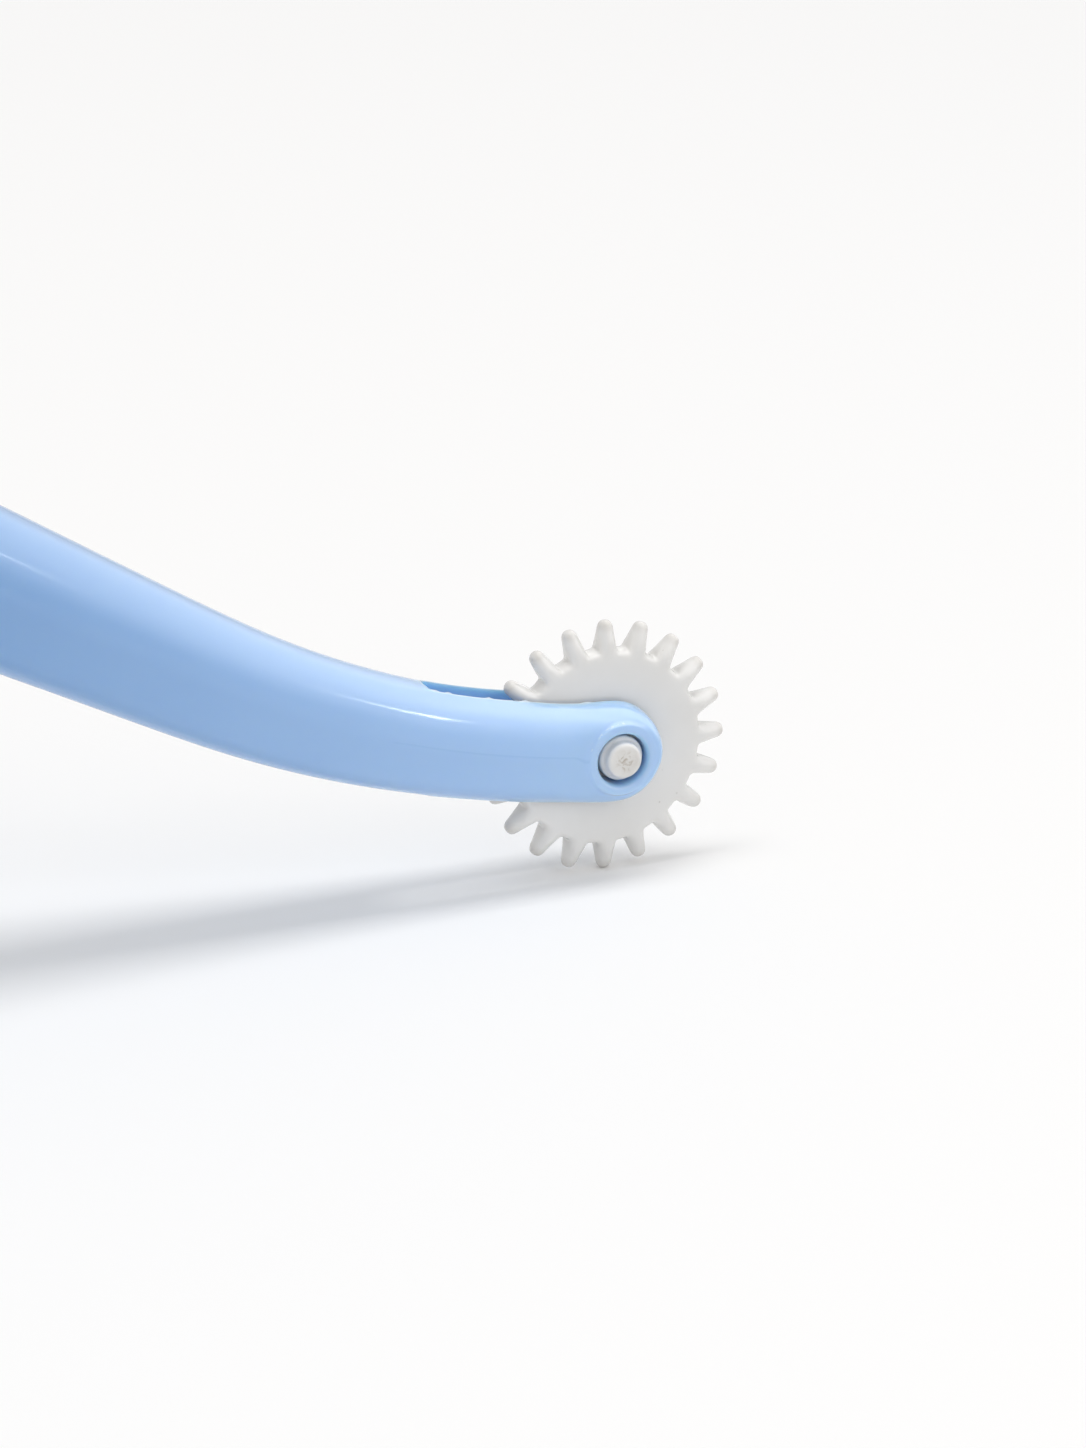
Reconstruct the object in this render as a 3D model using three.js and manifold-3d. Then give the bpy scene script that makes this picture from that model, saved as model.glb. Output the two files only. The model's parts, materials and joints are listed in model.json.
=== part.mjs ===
// A fondant wheel tool: a moulded handle whose fork carries a toothed wheel on a stepped pin.
// The wheel stands on the plane z = 0 with one tooth straight down, the axle lies along Y, and the handle
// rises towards -X. The origin is under the middle of the tool's box.
import * as THREE from "three";
import { mergeVertices } from "three/addons/utils/BufferGeometryUtils.js";
import Module from "manifold-3d";

// Driving dimensions, in millimetres, with angles in degrees.
// The toothed wheel.
const wheelDiameter = 25; // over the tooth tips
const wheelThickness = 2.6;
const toothCount = 20;
const toothHeight = 3.15;
const toothTipRadius = 0.66; // each tooth ends in a ball
const toothGapRadius = 0.45; // round bottom of the gap between two teeth
const toothTaperStart = 0.6; // height above the gap bottom where the teeth start to thin
const wheelEdgeRound = 0.55;

// The axle pin.
const pinDiameter = 4.3;
const pinNoseDiameter = 3.5; // the thinner lead at each end
const pinNoseLength = 2.1;
const pinShoulder = 0.35; // length of the cone between shank and nose
const pinChamfer = 0.3;
const pinProud = 0.4; // how far each end stands out of the fork
const pressGap = 0.05; // all round the pin in the wheel's bore

// The fork.
const wheelSideClearance = 0.45; // between the wheel and each arm
const wheelRearClearance = 5.3; // between the tooth tips and the end of the slot
const boreClearance = 0.35; // all round the pin in the arms
const armThickness = 2.9; // from the slot to the arm's outer side
const ringProud = 0.15; // the flat ring round the bore stands this far out of the arm
const ringWidth = 1.3;
const ringRound = 0.15;
const boreLip = 0.2; // chamfer at the bore's mouth
const armRim = 1.2; // from the ring to the round end of the arm
const endSwell = 0.14; // the round end stands this far above and below the arm

// The handle, along its spine from the axle to the butt.
const forkAngle = 4.6; // slope of the spine at the axle
const gripAngle = 29.5; // slope of the grip's straight front
const bendRadius = 98;
const gripFrontLength = 33;
const palmLength = 63; // the grip's rear, which arches down into the palm
const palmRadius = 240;
const gripFrontHeight = 11.6;
const gripFrontWidth = 11.2;
const bellyHeight = 15.4;
const bellyWidth = 14.8;
const bellyFromButt = 45;
const buttHeight = 13;
const buttWidth = 12.5;
const buttRound = 6; // length of the domed end
const buttFlatDiameter = 5;
const armPower = 4; // section shape: 2 is an ellipse, higher is squarer
const gripPower = 2.6;

// Mesh fineness.
const sectionPoints = 36;
const spinePoints = 28;
const domePoints = 5;
const roundSegments = 40;
const endSegments = 10;
const toothSegments = 3;
const segmentsPerTooth = 6;

// What follows from them.
const wheelRadius = wheelDiameter / 2;
const slotWidth = wheelThickness + 2 * wheelSideClearance;
const slotDepth = wheelRadius + wheelRearClearance;
const armWidth = slotWidth + 2 * armThickness;
const ringSpan = armWidth + 2 * ringProud;
const boreRadius = pinDiameter / 2 + boreClearance;
const ringRadius = boreRadius + ringWidth;
const endRadius = ringRadius + armRim;
const armHeight = 2 * (endRadius - endSwell);
const pinHalfLength = ringSpan / 2 + pinProud;
const forkSlope = THREE.MathUtils.degToRad(forkAngle);
const gripSlope = THREE.MathUtils.degToRad(gripAngle);
const bendLength = bendRadius * (gripSlope - forkSlope);
const palmStart = bendLength + gripFrontLength;
const handleLength = palmStart + palmLength;

const wasm = await Module();
wasm.setup();

// A closed geometry as a solid that can be joined and cut.
function toSolid(geometry) {
  const bare = new THREE.BufferGeometry();
  const loose = geometry.index ? geometry.toNonIndexed() : geometry;
  bare.setAttribute("position", loose.getAttribute("position"));
  const merged = mergeVertices(bare, 1e-4);
  const mesh = new wasm.Mesh({
    numProp: 3,
    vertProperties: merged.attributes.position.array,
    triVerts: new Uint32Array(merged.index.array),
  });
  return new wasm.Manifold(mesh);
}

// A solid's surface as a geometry.
function toGeometry(solid) {
  const mesh = solid.getMesh();
  const geometry = new THREE.BufferGeometry();
  geometry.setAttribute("position", new THREE.BufferAttribute(mesh.vertProperties, 3));
  geometry.setIndex(new THREE.BufferAttribute(mesh.triVerts, 1));
  geometry.computeVertexNormals();
  return geometry;
}

// A profile of [radius, y] pairs turned about the Y axis.
function turned(profile, segments) {
  const points = profile.map(([radius, y]) => new THREE.Vector2(radius, y));
  return new THREE.LatheGeometry(points, segments);
}

// Points on an arc, as [x, y] pairs, from one angle to another.
function arcPoints(x, y, radius, from, to, segments) {
  return Array.from({ length: segments + 1 }, (_, i) => {
    const angle = from + ((to - from) * i) / segments;
    return [x + radius * Math.cos(angle), y + radius * Math.sin(angle)];
  });
}

// The spine's place and its upward normal at a distance from the axle: the neck bends up in an arc, the grip
// runs straight, and its rear arches down in a second arc.
function spineAt(distance) {
  const neck = Math.min(distance, bendLength);
  const rise = forkSlope + neck / bendRadius;
  const straight = Math.min(distance, palmStart) - neck;
  const palm = Math.max(distance - palmStart, 0);
  const slope = rise - palm / palmRadius;
  const centre = new THREE.Vector3(
    -bendRadius * (Math.sin(rise) - Math.sin(forkSlope)),
    0,
    bendRadius * (Math.cos(forkSlope) - Math.cos(rise)),
  );
  centre.x -= straight * Math.cos(rise) + palmRadius * (Math.sin(rise) - Math.sin(slope));
  centre.z += straight * Math.sin(rise) + palmRadius * (Math.cos(slope) - Math.cos(rise));
  const normal = new THREE.Vector3(Math.sin(slope), 0, Math.cos(slope));
  return { centre, normal };
}

// A cosine or sine bent towards a square corner.
const squared = (value, power) => Math.sign(value) * Math.abs(value) ** (2 / power);

// The handle's sections, each with its distance from the axle, its height, its width and its shape.
function handleSections() {
  const domeStart = handleLength - buttRound;
  const stations = [
    [0, armHeight, armWidth],
    [slotDepth, armHeight, armWidth],
    [bendLength, gripFrontHeight, gripFrontWidth],
    [handleLength - bellyFromButt, bellyHeight, bellyWidth],
    [domeStart, buttHeight, buttWidth],
  ];
  const knots = stations.map(([at, height, width]) => new THREE.Vector3(at, height, width));
  const flow = new THREE.CatmullRomCurve3(knots, false, "centripetal");
  const sections = Array.from({ length: spinePoints + 1 }, (_, i) => {
    const knot = flow.getPoint(i / spinePoints);
    const ease = THREE.MathUtils.smoothstep(knot.x, slotDepth, bendLength);
    const power = THREE.MathUtils.lerp(armPower, gripPower, ease);
    return { at: knot.x, height: knot.y, width: knot.z, power };
  });
  for (let i = 1; i <= domePoints; i++) {
    const angle = (i / domePoints) * (Math.PI / 2);
    sections.push({
      at: domeStart + buttRound * Math.sin(angle),
      height: buttFlatDiameter + (buttHeight - buttFlatDiameter) * Math.cos(angle),
      width: buttFlatDiameter + (buttWidth - buttFlatDiameter) * Math.cos(angle),
      power: gripPower,
    });
  }
  return sections;
}

// A closed skin through the handle's sections, capped flat at both ends.
function handleSkin() {
  const sections = handleSections();
  const positions = [];
  for (const { at, height, width, power } of sections) {
    const { centre, normal } = spineAt(at);
    for (let j = 0; j < sectionPoints; j++) {
      const angle = (2 * Math.PI * (j + 0.5)) / sectionPoints;
      const rise = (height / 2) * squared(Math.sin(angle), power);
      const point = centre.clone().addScaledVector(normal, rise);
      positions.push(point.x, (width / 2) * squared(Math.cos(angle), power), point.z);
    }
  }
  const frontCentre = sections.length * sectionPoints;
  const buttCentre = frontCentre + 1;
  positions.push(...spineAt(0).centre.toArray(), ...spineAt(handleLength).centre.toArray());
  const lastRing = frontCentre - sectionPoints;
  const index = [];
  for (let j = 0; j < sectionPoints; j++) {
    const next = (j + 1) % sectionPoints;
    for (let ring = 0; ring < lastRing; ring += sectionPoints) {
      const far = ring + sectionPoints;
      index.push(ring + j, far + j, far + next, ring + j, far + next, ring + next);
    }
    index.push(frontCentre, j, next, buttCentre, lastRing + next, lastRing + j);
  }
  const geometry = new THREE.BufferGeometry();
  geometry.setAttribute("position", new THREE.Float32BufferAttribute(positions, 3));
  geometry.setIndex(index);
  return geometry;
}

// The round end of the fork, before the slot parts it into two arms: the arm's section turned about the axle.
function roundEnd() {
  const profile = Array.from({ length: endSegments + 1 }, (_, i) => {
    const angle = Math.PI * (i / endSegments - 0.5);
    const radius = endRadius * squared(Math.cos(angle), armPower);
    return [i % endSegments ? radius : 0, (armWidth / 2) * squared(Math.sin(angle), armPower)];
  });
  return turned(profile, roundSegments);
}

// The flat rings round the bore on both arms, as one drum.
function ringDrum() {
  const half = ringSpan / 2;
  const side = [
    [ringRadius, half - ringRound],
    [ringRadius - ringRound, half],
    [0, half],
  ];
  return turned([...side.map(([radius, y]) => [radius, -y]).reverse(), ...side], roundSegments);
}

// What is bored out of the fork: the pin's hole and its lips.
function boreTool() {
  const half = ringSpan / 2;
  const mouth = boreRadius + boreLip;
  const side = [
    [boreRadius, half - boreLip],
    [mouth, half],
    [mouth, half + armThickness],
    [0, half + armThickness],
  ];
  return turned([...side.map(([radius, y]) => [radius, -y]).reverse(), ...side], roundSegments);
}

// What is cut out between the arms, in line with the spine at the axle.
function slotTool() {
  const ahead = wheelRadius + endRadius;
  const tall = 4 * (wheelRadius + armHeight);
  const tool = new THREE.BoxGeometry(slotDepth + ahead, slotWidth, tall);
  tool.translate((ahead - slotDepth) / 2, 0, 0);
  return tool.rotateY(forkSlope);
}

function handleGeometry() {
  const blank = toSolid(handleSkin()).add(toSolid(roundEnd())).add(toSolid(ringDrum()));
  return toGeometry(blank.subtract(toSolid(slotTool())).subtract(toSolid(boreTool())));
}

// The wheel's outline: ball-ended teeth that taper into round-bottomed gaps, with one tooth straight down.
function wheelOutline() {
  const pitch = (2 * Math.PI) / toothCount;
  const tipCentre = wheelRadius - toothTipRadius;
  const gapCentre = wheelRadius - toothHeight + toothGapRadius;
  const across = gapCentre * Math.sin(pitch / 2);
  const back = tipCentre - gapCentre * Math.cos(pitch / 2);
  const reach = Math.hypot(across, back);
  const towardsGap = Math.atan2(across, -back);
  const flank = towardsGap - Math.acos((toothTipRadius + toothGapRadius) / reach);
  const outline = new THREE.Shape();
  for (let k = 0; k < toothCount; k++) {
    const tooth = pitch * k - Math.PI / 2;
    const gap = tooth + pitch / 2;
    const [tipX, tipY] = [tipCentre * Math.cos(tooth), tipCentre * Math.sin(tooth)];
    const [gapX, gapY] = [gapCentre * Math.cos(gap), gapCentre * Math.sin(gap)];
    const gapFrom = tooth + flank + Math.PI;
    const gapTo = tooth + pitch - flank + Math.PI;
    outline.absarc(tipX, tipY, toothTipRadius, tooth - flank, tooth + flank, false);
    outline.absarc(gapX, gapY, toothGapRadius, gapFrom, gapTo, true);
  }
  return outline;
}

// The disc that the outline is cut from: flat sides with a bore, thinning to a round rim along the teeth.
function wheelBlank() {
  const half = wheelThickness / 2;
  const bore = pinDiameter / 2 + pressGap;
  const flat = wheelRadius - toothHeight + toothTaperStart;
  const rim = wheelRadius - toothTipRadius;
  const fromRim = Math.hypot(rim - flat, half);
  const tangent = Math.atan2(half, flat - rim) - Math.acos(toothTipRadius / fromRim);
  const profile = [
    [bore, -half],
    [flat, -half],
    ...arcPoints(rim, 0, toothTipRadius, -tangent, tangent, 2 * toothSegments),
    [flat, half],
    [bore, half],
    [bore, -half],
  ];
  return turned(profile, segmentsPerTooth * toothCount);
}

function wheelGeometry() {
  const cutter = new THREE.ExtrudeGeometry(wheelOutline(), {
    depth: wheelThickness - 2 * wheelEdgeRound,
    curveSegments: toothSegments,
    bevelEnabled: true,
    bevelThickness: wheelEdgeRound,
    bevelSize: wheelEdgeRound,
    bevelOffset: -wheelEdgeRound,
    bevelSegments: 2,
  });
  cutter.translate(0, 0, wheelEdgeRound - wheelThickness / 2);
  cutter.rotateX(Math.PI / 2);
  return toGeometry(toSolid(cutter).intersect(toSolid(wheelBlank())));
}

// The pin: a shank through the wheel and both arms, with a thinner chamfered nose at each end.
function pinGeometry() {
  const shank = pinDiameter / 2;
  const nose = pinNoseDiameter / 2;
  const noseStart = pinHalfLength - pinNoseLength;
  const upper = [
    [shank, noseStart - pinShoulder],
    [nose, noseStart],
    [nose, pinHalfLength - pinChamfer],
    [nose - pinChamfer, pinHalfLength],
    [0, pinHalfLength],
  ];
  const lower = upper.map(([radius, y]) => [radius, -y]).reverse();
  return turned([...lower, ...upper], roundSegments);
}

function moulded(name, geometry, color, roughness) {
  const material = new THREE.MeshStandardMaterial({ color, roughness, metalness: 0 });
  const mesh = new THREE.Mesh(geometry, material);
  mesh.name = name;
  return mesh;
}

// The wheel and its pin turn together on the axle.
const running = new THREE.Group();
running.add(moulded("wheel", wheelGeometry(), 0xdcdbd8, 0.4));
running.add(moulded("axle_pin", pinGeometry(), 0xd8d5d0, 0.5));

const assembly = new THREE.Group();
assembly.add(moulded("handle", handleGeometry(), 0x9cc2f2, 0.22));
assembly.add(running);

// The origin goes under the middle of the tool's box.
const box = new THREE.Box3().setFromObject(assembly);
assembly.position.set(-(box.min.x + box.max.x) / 2, 0, -box.min.z);

const tool = new THREE.Group();
tool.add(assembly);

export default tool;
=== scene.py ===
import json
import math

import bmesh
import bpy
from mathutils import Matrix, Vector


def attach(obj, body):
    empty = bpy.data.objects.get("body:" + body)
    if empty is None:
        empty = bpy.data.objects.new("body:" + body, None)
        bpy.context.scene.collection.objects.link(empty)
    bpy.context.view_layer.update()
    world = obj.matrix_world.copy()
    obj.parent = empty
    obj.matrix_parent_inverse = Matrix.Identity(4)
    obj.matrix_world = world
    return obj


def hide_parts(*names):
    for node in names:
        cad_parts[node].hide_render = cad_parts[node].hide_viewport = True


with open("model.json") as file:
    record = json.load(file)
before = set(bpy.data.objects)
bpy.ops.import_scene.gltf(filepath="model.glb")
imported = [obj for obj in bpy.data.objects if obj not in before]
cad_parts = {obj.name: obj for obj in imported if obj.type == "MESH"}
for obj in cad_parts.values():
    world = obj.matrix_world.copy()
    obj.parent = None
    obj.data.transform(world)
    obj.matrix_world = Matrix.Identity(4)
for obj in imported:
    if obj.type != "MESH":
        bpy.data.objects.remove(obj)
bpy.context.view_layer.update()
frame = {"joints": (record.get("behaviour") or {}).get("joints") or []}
bpy.ops.object.select_all(action="DESELECT")

# Camera: it stands left of the wheel and a little above it, about 30 cm away, with a long lens, as the
# photograph's did. The axle is the point that everything on the tool is measured from.
mm = 0.001
axle = Vector(frame["joints"][0]["pos_m"])
camera_from_axle = Vector((-115.12, -258.47, 99.90)) * mm
camera_turn = math.radians(22.83)
camera_drop = math.radians(19.07)
bpy.ops.object.camera_add(
    location=axle + camera_from_axle,
    rotation=(math.radians(90) - camera_drop, 0, -camera_turn),
)
camera = bpy.context.object
camera.data.sensor_width = 36
camera.data.lens = 78.19
camera.data.clip_start = 0.01
bpy.context.scene.camera = camera
bpy.context.scene.view_settings.view_transform = "Standard"

# Floor: a plain white sheet under the tool that fills the frame and keeps the shadow. What the camera
# sees of it is lifted a little, so that it comes out white.
floor_size = 5.0
floor_white = (0.872, 0.866, 0.860, 1)
floor_lift = 0.080


def new_material(name):
    """Makes a material, and gives it with its node tree and its shader."""
    material = bpy.data.materials.new(name)
    material.use_nodes = True
    return material, material.node_tree, material.node_tree.nodes["Principled BSDF"]


def add_node(tree, kind, **settings):
    """Adds a node to a tree, and sets its sockets and choices by name."""
    node = tree.nodes.new(kind)
    for name, value in settings.items():
        socket = name.replace("_", " ")
        if socket in node.inputs:
            node.inputs[socket].default_value = value
        else:
            setattr(node, name, value)
    return node


bpy.ops.mesh.primitive_plane_add(size=floor_size, location=(0, 0, 0))
floor = bpy.context.object
floor.name = "floor"
floor_paint, floor_tree, floor_shader = new_material("floor_white")
floor_shader.inputs["Base Color"].default_value = floor_white
floor_shader.inputs["Roughness"].default_value = 1
floor_shader.inputs["Specular IOR Level"].default_value = 0
floor_shader.inputs["Emission Color"].default_value = (1, 1, 1, 1)
floor_sight = add_node(floor_tree, "ShaderNodeLightPath")
floor_glow = add_node(floor_tree, "ShaderNodeMath", operation="MULTIPLY")
floor_glow.inputs[1].default_value = floor_lift
floor_tree.links.new(floor_sight.outputs["Is Camera Ray"], floor_glow.inputs[0])
floor_tree.links.new(floor_glow.outputs[0], floor_shader.inputs["Emission Strength"])
floor.data.materials.append(floor_paint)

# Light: white walls all round, one long soft lamp straight above that throws the shadow under the tool,
# a small lamp on the right that draws the thin lights along the plastic, and a weak fill from the
# front. The camera sees white walls. Glossy surfaces see a bright patch overhead and to the right.
wall_strength = 0.60
wall_white = 0.96
sheen_way = Vector((0.58, 0, 0.81))
sheen_start = 0.22
sheen_least = 0.1
sheen_most = 2.15
core_way = Vector((0.38, -0.08, 0.92))
core_start = 0.86
core_full = 0.985
core_most = 1.0
room = bpy.data.worlds.new("white_room")
room.use_nodes = True
room_tree = room.node_tree
room_paint = room_tree.nodes["Background"]
room_paint.inputs["Color"].default_value = (1, 1, 1, 1)
room_sight = add_node(room_tree, "ShaderNodeLightPath")
room_place = add_node(room_tree, "ShaderNodeTexCoord")
room_facing = add_node(room_tree, "ShaderNodeVectorMath", operation="DOT_PRODUCT")
room_facing.inputs[1].default_value = sheen_way
room_sheen = add_node(
    room_tree, "ShaderNodeMapRange", interpolation_type="SMOOTHSTEP",
    From_Min=sheen_start, To_Min=sheen_least, To_Max=sheen_most,
)
room_above = add_node(room_tree, "ShaderNodeVectorMath", operation="DOT_PRODUCT")
room_above.inputs[1].default_value = core_way
room_core = add_node(
    room_tree, "ShaderNodeMapRange", interpolation_type="SMOOTHSTEP",
    From_Min=core_start, From_Max=core_full, To_Max=core_most,
)
room_seen = add_node(room_tree, "ShaderNodeMath")
room_glow = add_node(room_tree, "ShaderNodeMath", operation="MULTIPLY_ADD")
room_wall = add_node(room_tree, "ShaderNodeMapRange", To_Min=wall_strength, To_Max=wall_white)
room_tree.links.new(room_place.outputs["Generated"], room_facing.inputs[0])
room_tree.links.new(room_facing.outputs["Value"], room_sheen.inputs["Value"])
room_tree.links.new(room_place.outputs["Generated"], room_above.inputs[0])
room_tree.links.new(room_above.outputs["Value"], room_core.inputs["Value"])
room_tree.links.new(room_sheen.outputs["Result"], room_seen.inputs[0])
room_tree.links.new(room_core.outputs["Result"], room_seen.inputs[1])
room_tree.links.new(room_seen.outputs[0], room_glow.inputs[0])
room_tree.links.new(room_sight.outputs["Is Glossy Ray"], room_glow.inputs[1])
room_tree.links.new(room_sight.outputs["Is Camera Ray"], room_wall.inputs["Value"])
room_tree.links.new(room_wall.outputs["Result"], room_glow.inputs[2])
room_tree.links.new(room_glow.outputs[0], room_paint.inputs["Strength"])
bpy.context.scene.world = room


def add_lamp(name, place, size, power, facing=None):
    """Adds a soft lamp that shines straight down, or back along the way that it faces."""
    bpy.ops.object.light_add(type="AREA", location=place)
    lamp = bpy.context.object
    lamp.name = name
    if facing is not None:
        lamp.rotation_euler = facing.to_track_quat("Z", "Y").to_euler()
    lamp.data.shape = "RECTANGLE"
    lamp.data.size, lamp.data.size_y = size
    lamp.data.energy = power
    return lamp


key_place = Vector((0, 0, 10.0))
key_size = (11.0, 3.0)
key_power = 440
side_way = Vector((0.632, -0.627, 0.447))
side_distance = 2.0
side_size = (0.16, 0.12)
side_power = 0.9
fill_way = Vector((0.30, -0.78, 0.55))
fill_distance = 0.9
fill_size = (0.6, 0.6)
fill_power = 0.95
key_lamp = add_lamp("key_lamp", key_place, key_size, key_power)
key_lamp.visible_glossy = False
add_lamp("side_lamp", side_way * side_distance, side_size, side_power, side_way)
fill_lamp = add_lamp("fill_lamp", axle + fill_way * fill_distance, fill_size, fill_power, fill_way)
fill_lamp.visible_glossy = False

# Handle: one injection moulding in glossy light blue plastic, with grip, neck and both fork arms in one
# shot. The near half of its cage is drawn out from the axle hole and back along the spine to the butt,
# given the wall of its slot, then mirrored and smoothed.
fork_slope = math.radians(4.6)
grip_slope = math.radians(29.5)
bend_radius = 98 * mm
bend_length = bend_radius * (grip_slope - fork_slope)
palm_start = bend_length + 33 * mm
palm_radius = 240 * mm
handle_length = palm_start + 62.95 * mm
belly_place = handle_length - 45 * mm
butt_round = 6 * mm
dome_start = handle_length - butt_round
butt_flat = 5 * mm
arm_length = 17.8 * mm
slot_depth = 18.85 * mm
slot_half = 1.75 * mm
arm_girth = (10.35 * mm, 9.2 * mm)
arm_sag = 0.04 * mm
neck_girth = (11.95 * mm, 11.2 * mm)
belly_girth = (15.5 * mm, 14.76 * mm)
butt_girth = (13.0 * mm, 12.5 * mm)
end_squareness = 4.0
arm_squareness = 2.4
grip_squareness = 2.2
square_run = (-2 * mm, 6 * mm)
smoothing_loss = 0.045 * mm
mould_draft = math.radians(2.0)
draft_end = 27 * mm
parting_turn = math.radians(2.6)
parting_lift = 0.39 * mm
bore_radius = 2.56 * mm
bore_sink = 0.10 * mm
ring_radius = 3.60 * mm
ring_face = 4.7 * mm
ring_foot = 3.82 * mm
cheek_ring = 4.06 * mm
end_radius = 5.12 * mm
end_round = 1.4 * mm
end_fullness = 2.2
end_front = (-0.1, 0.9)
end_trim = 0.22 * mm
chin_trim = 0.65 * mm
chin_start = 3.0 * mm
head_dip = 0.20 * mm
dip_falls = (1.0 * mm, 3.2 * mm)
dip_rises = (3.5 * mm, 10.0 * mm)
dip_heights = (0.2, 0.45)
hair = 0.01 * mm
weld_gap = 0.001 * mm
fork_forward = Vector((math.cos(fork_slope), 0, -math.sin(fork_slope)))
fork_up = Vector((math.sin(fork_slope), 0, math.cos(fork_slope)))


def smooth(value, low, high):
    """Eases from 0 at low to 1 at high."""
    share = min(max((value - low) / (high - low), 0), 1)
    return share * share * (3 - 2 * share)


def spine_at(along):
    """Gives the middle of the handle at a distance from the axle, and the way up across it there."""
    neck = min(along, bend_length)
    rise = fork_slope + neck / bend_radius
    straight = min(along, palm_start) - neck
    slope = rise - max(along - palm_start, 0) / palm_radius
    back = bend_radius * (math.sin(rise) - math.sin(fork_slope)) + straight * math.cos(rise)
    back += palm_radius * (math.sin(rise) - math.sin(slope))
    lift = bend_radius * (math.cos(fork_slope) - math.cos(rise)) + straight * math.sin(rise)
    lift += palm_radius * (math.cos(slope) - math.cos(rise))
    return axle + Vector((-back, 0, lift)), Vector((math.sin(slope), 0, math.cos(slope)))


def girth_at(along):
    """Gives the handle's height and width at a distance from the axle, flowing through its set girths."""
    places = (0, arm_length, bend_length, belly_place, dome_start)
    girths = (arm_girth, arm_girth, neck_girth, belly_girth, butt_girth)
    last = len(places) - 1
    step = max(index for index in range(last) if index == 0 or along > places[index])
    run = places[step + 1] - places[step]
    share = min(max((along - places[step]) / run, 0), 1)
    measures = []
    for side in (0, 1):
        slopes = []
        for knot in (step, step + 1):
            before, after = max(knot - 1, 0), min(knot + 1, last)
            change = girths[after][side] - girths[before][side]
            slopes.append(change / (places[after] - places[before]) if knot else 0)
        start, end = girths[step][side], girths[step + 1][side]
        ease = share * share * (3 - 2 * share)
        leave = share * (1 - share) ** 2 * run * slopes[0]
        arrive = share * share * (share - 1) * run * slopes[1]
        measures.append(start + (end - start) * ease + leave + arrive)
    if along > dome_start:
        share = min((along - dome_start) / butt_round, 1)
        measures = [butt_flat + (girth - butt_flat) * math.sqrt(1 - share * share) for girth in measures]
    return measures[0], measures[1]


def squareness_at(along):
    """Gives how square the handle's section is: most at the fork's end, least at the grip."""
    square = end_squareness + (arm_squareness - end_squareness) * smooth(along, *square_run)
    return square + (grip_squareness - arm_squareness) * smooth(along, arm_length, bend_length)


def cheek_depth(along, lift):
    """Gives how far the near cheek stands out from the middle plane at a height above the spine."""
    height, width = girth_at(along)
    reach = min(abs(lift) / (height / 2 + smoothing_loss), 1)
    squareness = squareness_at(along)
    flat = (width / 2 + smoothing_loss) * (1 - reach ** squareness) ** (1 / squareness)
    draft = math.tan(mould_draft) * (1 - smooth(along, arm_length, draft_end))
    return flat - draft * abs(lift - parting_lift)


def skin_point(along, turn):
    """Gives a point of the near skin: turn goes from a right angle on top through 0 at the side."""
    height = girth_at(along)[0]
    squareness = squareness_at(along)
    lift = (height / 2 + smoothing_loss) * abs(math.sin(turn)) ** (2 / squareness)
    lift = math.copysign(lift, turn)
    out = cheek_depth(along, lift) if abs(turn) < math.radians(89) else 0
    dip = smooth(along, *dip_falls) * (1 - smooth(along, *dip_rises))
    lift -= head_dip * dip * smooth(lift / height, *dip_heights)
    lean = min(along, arm_length) / bend_radius
    lean *= 1 - smooth(along, arm_length, bend_length)
    centre, up = spine_at(along + lift * math.tan(lean))
    centre = centre - up * arm_sag * (1 - smooth(along, arm_length, bend_length))
    return centre + up * lift + Vector((0, -out, 0))


def ring_point(radius, turn):
    """Gives a point of the fork's end: the flat ring round the hole, the cheek and the rounded rim."""
    ahead = max(math.cos(turn), 0)
    below = max(-math.sin(turn), 0)
    trim = chin_trim * ahead * ahead * below * smooth(radius, chin_start, ring_radius)
    trim += end_trim * math.sqrt(ahead) if radius > cheek_ring else 0
    lift = radius * math.sin(turn)
    front = smooth(math.cos(turn), *end_front)
    past_flat = max(radius - (end_radius - end_round), 0) / end_round
    fullness = max(1 - past_flat ** end_fullness, 0) ** (1 / end_fullness)
    rounded = slot_half + (ring_face - slot_half) * fullness
    rear = cheek_depth(0, lift)
    if radius < ring_radius + hair:
        out = ring_face
    else:
        out = rear + (rounded - rear) * front
    if radius > end_radius - hair:
        out = slot_half
    ray = fork_forward * math.cos(turn) + fork_up * math.sin(turn)
    return axle + ray * (radius - trim) + Vector((0, -out, 0))


def pick_edges(wanted):
    """Selects only those edges of the cage in edit mode that pass a test."""
    bpy.ops.mesh.select_all(action="DESELECT")
    cage = bmesh.from_edit_mesh(bpy.context.object.data)
    for edge in cage.edges:
        if wanted(edge):
            edge.select_set(True)
    bmesh.update_edit_mesh(bpy.context.object.data)


def open_cage():
    """Opens the cage that is in edit mode."""
    cage = bmesh.from_edit_mesh(bpy.context.object.data)
    cage.verts.index_update()
    return cage


def selected_vertices(cage):
    """Gives the selected vertices of an open cage."""
    return [vertex for vertex in cage.verts if vertex.select]


def lay_ring(radius, depth=None):
    """Places the selected round row on the fork's end at a radius."""
    cage = open_cage()
    for vertex in selected_vertices(cage):
        arm = vertex.co - axle
        turn = math.atan2(arm.dot(fork_up), arm.dot(fork_forward))
        turn = round(turn / corner_turn) * corner_turn
        vertex.co = ring_point(radius, turn)
        vertex.co.z -= bore_sink * (1 - smooth(radius, bore_radius, ring_radius))
        if depth is not None:
            vertex.co.y = -depth
    bmesh.update_edit_mesh(bpy.context.object.data)


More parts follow.
